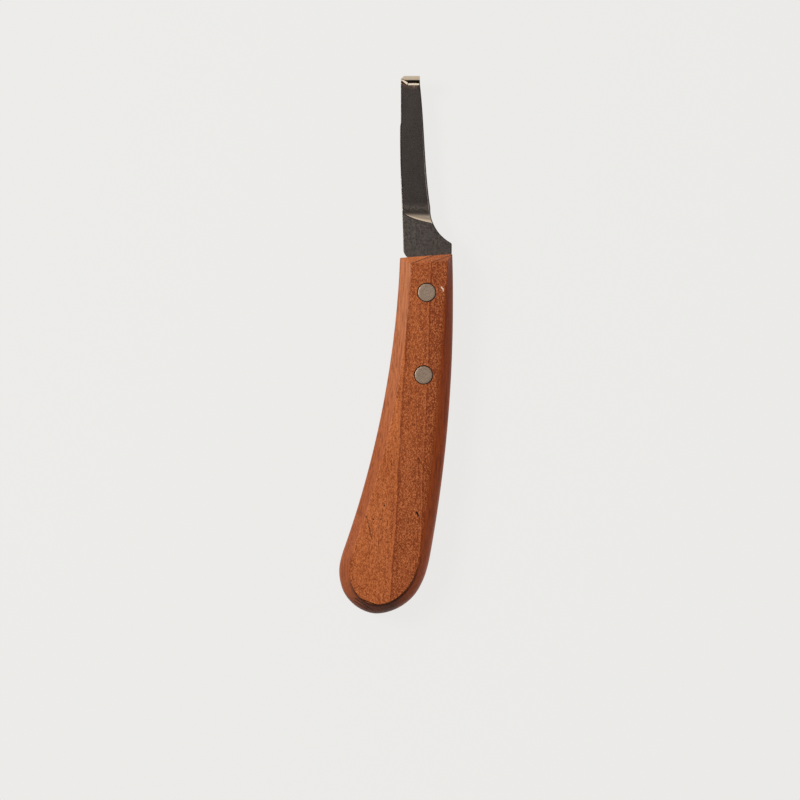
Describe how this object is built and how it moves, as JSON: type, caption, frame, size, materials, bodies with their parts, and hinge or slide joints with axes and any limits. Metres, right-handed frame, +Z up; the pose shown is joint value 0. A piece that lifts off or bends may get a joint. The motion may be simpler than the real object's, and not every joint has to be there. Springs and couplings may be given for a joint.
{
  "type": "hoof knife",
  "caption": "Farrier's hoof knife: a narrow steel blade curled into a small hook at its tip, its tang riveted into a curved wooden handle.",
  "frame": {"origin": "on the handle's flat underside, midway between the axes of its two rivets", "axes": "+Y along the blade towards the hook, +X towards the cutting edge, +Z up through the handle's thickness, the side the hook curls towards"},
  "size_m": [0.0444, 0.21, 0.019],
  "materials": {
    "blade_steel": "satin",
    "wood": "satin",
    "rivet_metal": "satin"
  },
  "bodies": {
    "root": {"blade": "blade_steel", "handle": "wood", "front_rivet_stud": "rivet_metal", "front_rivet_sleeve": "rivet_metal", "rear_rivet_stud": "rivet_metal", "rear_rivet_sleeve": "rivet_metal"}
  },
  "joints": []
}
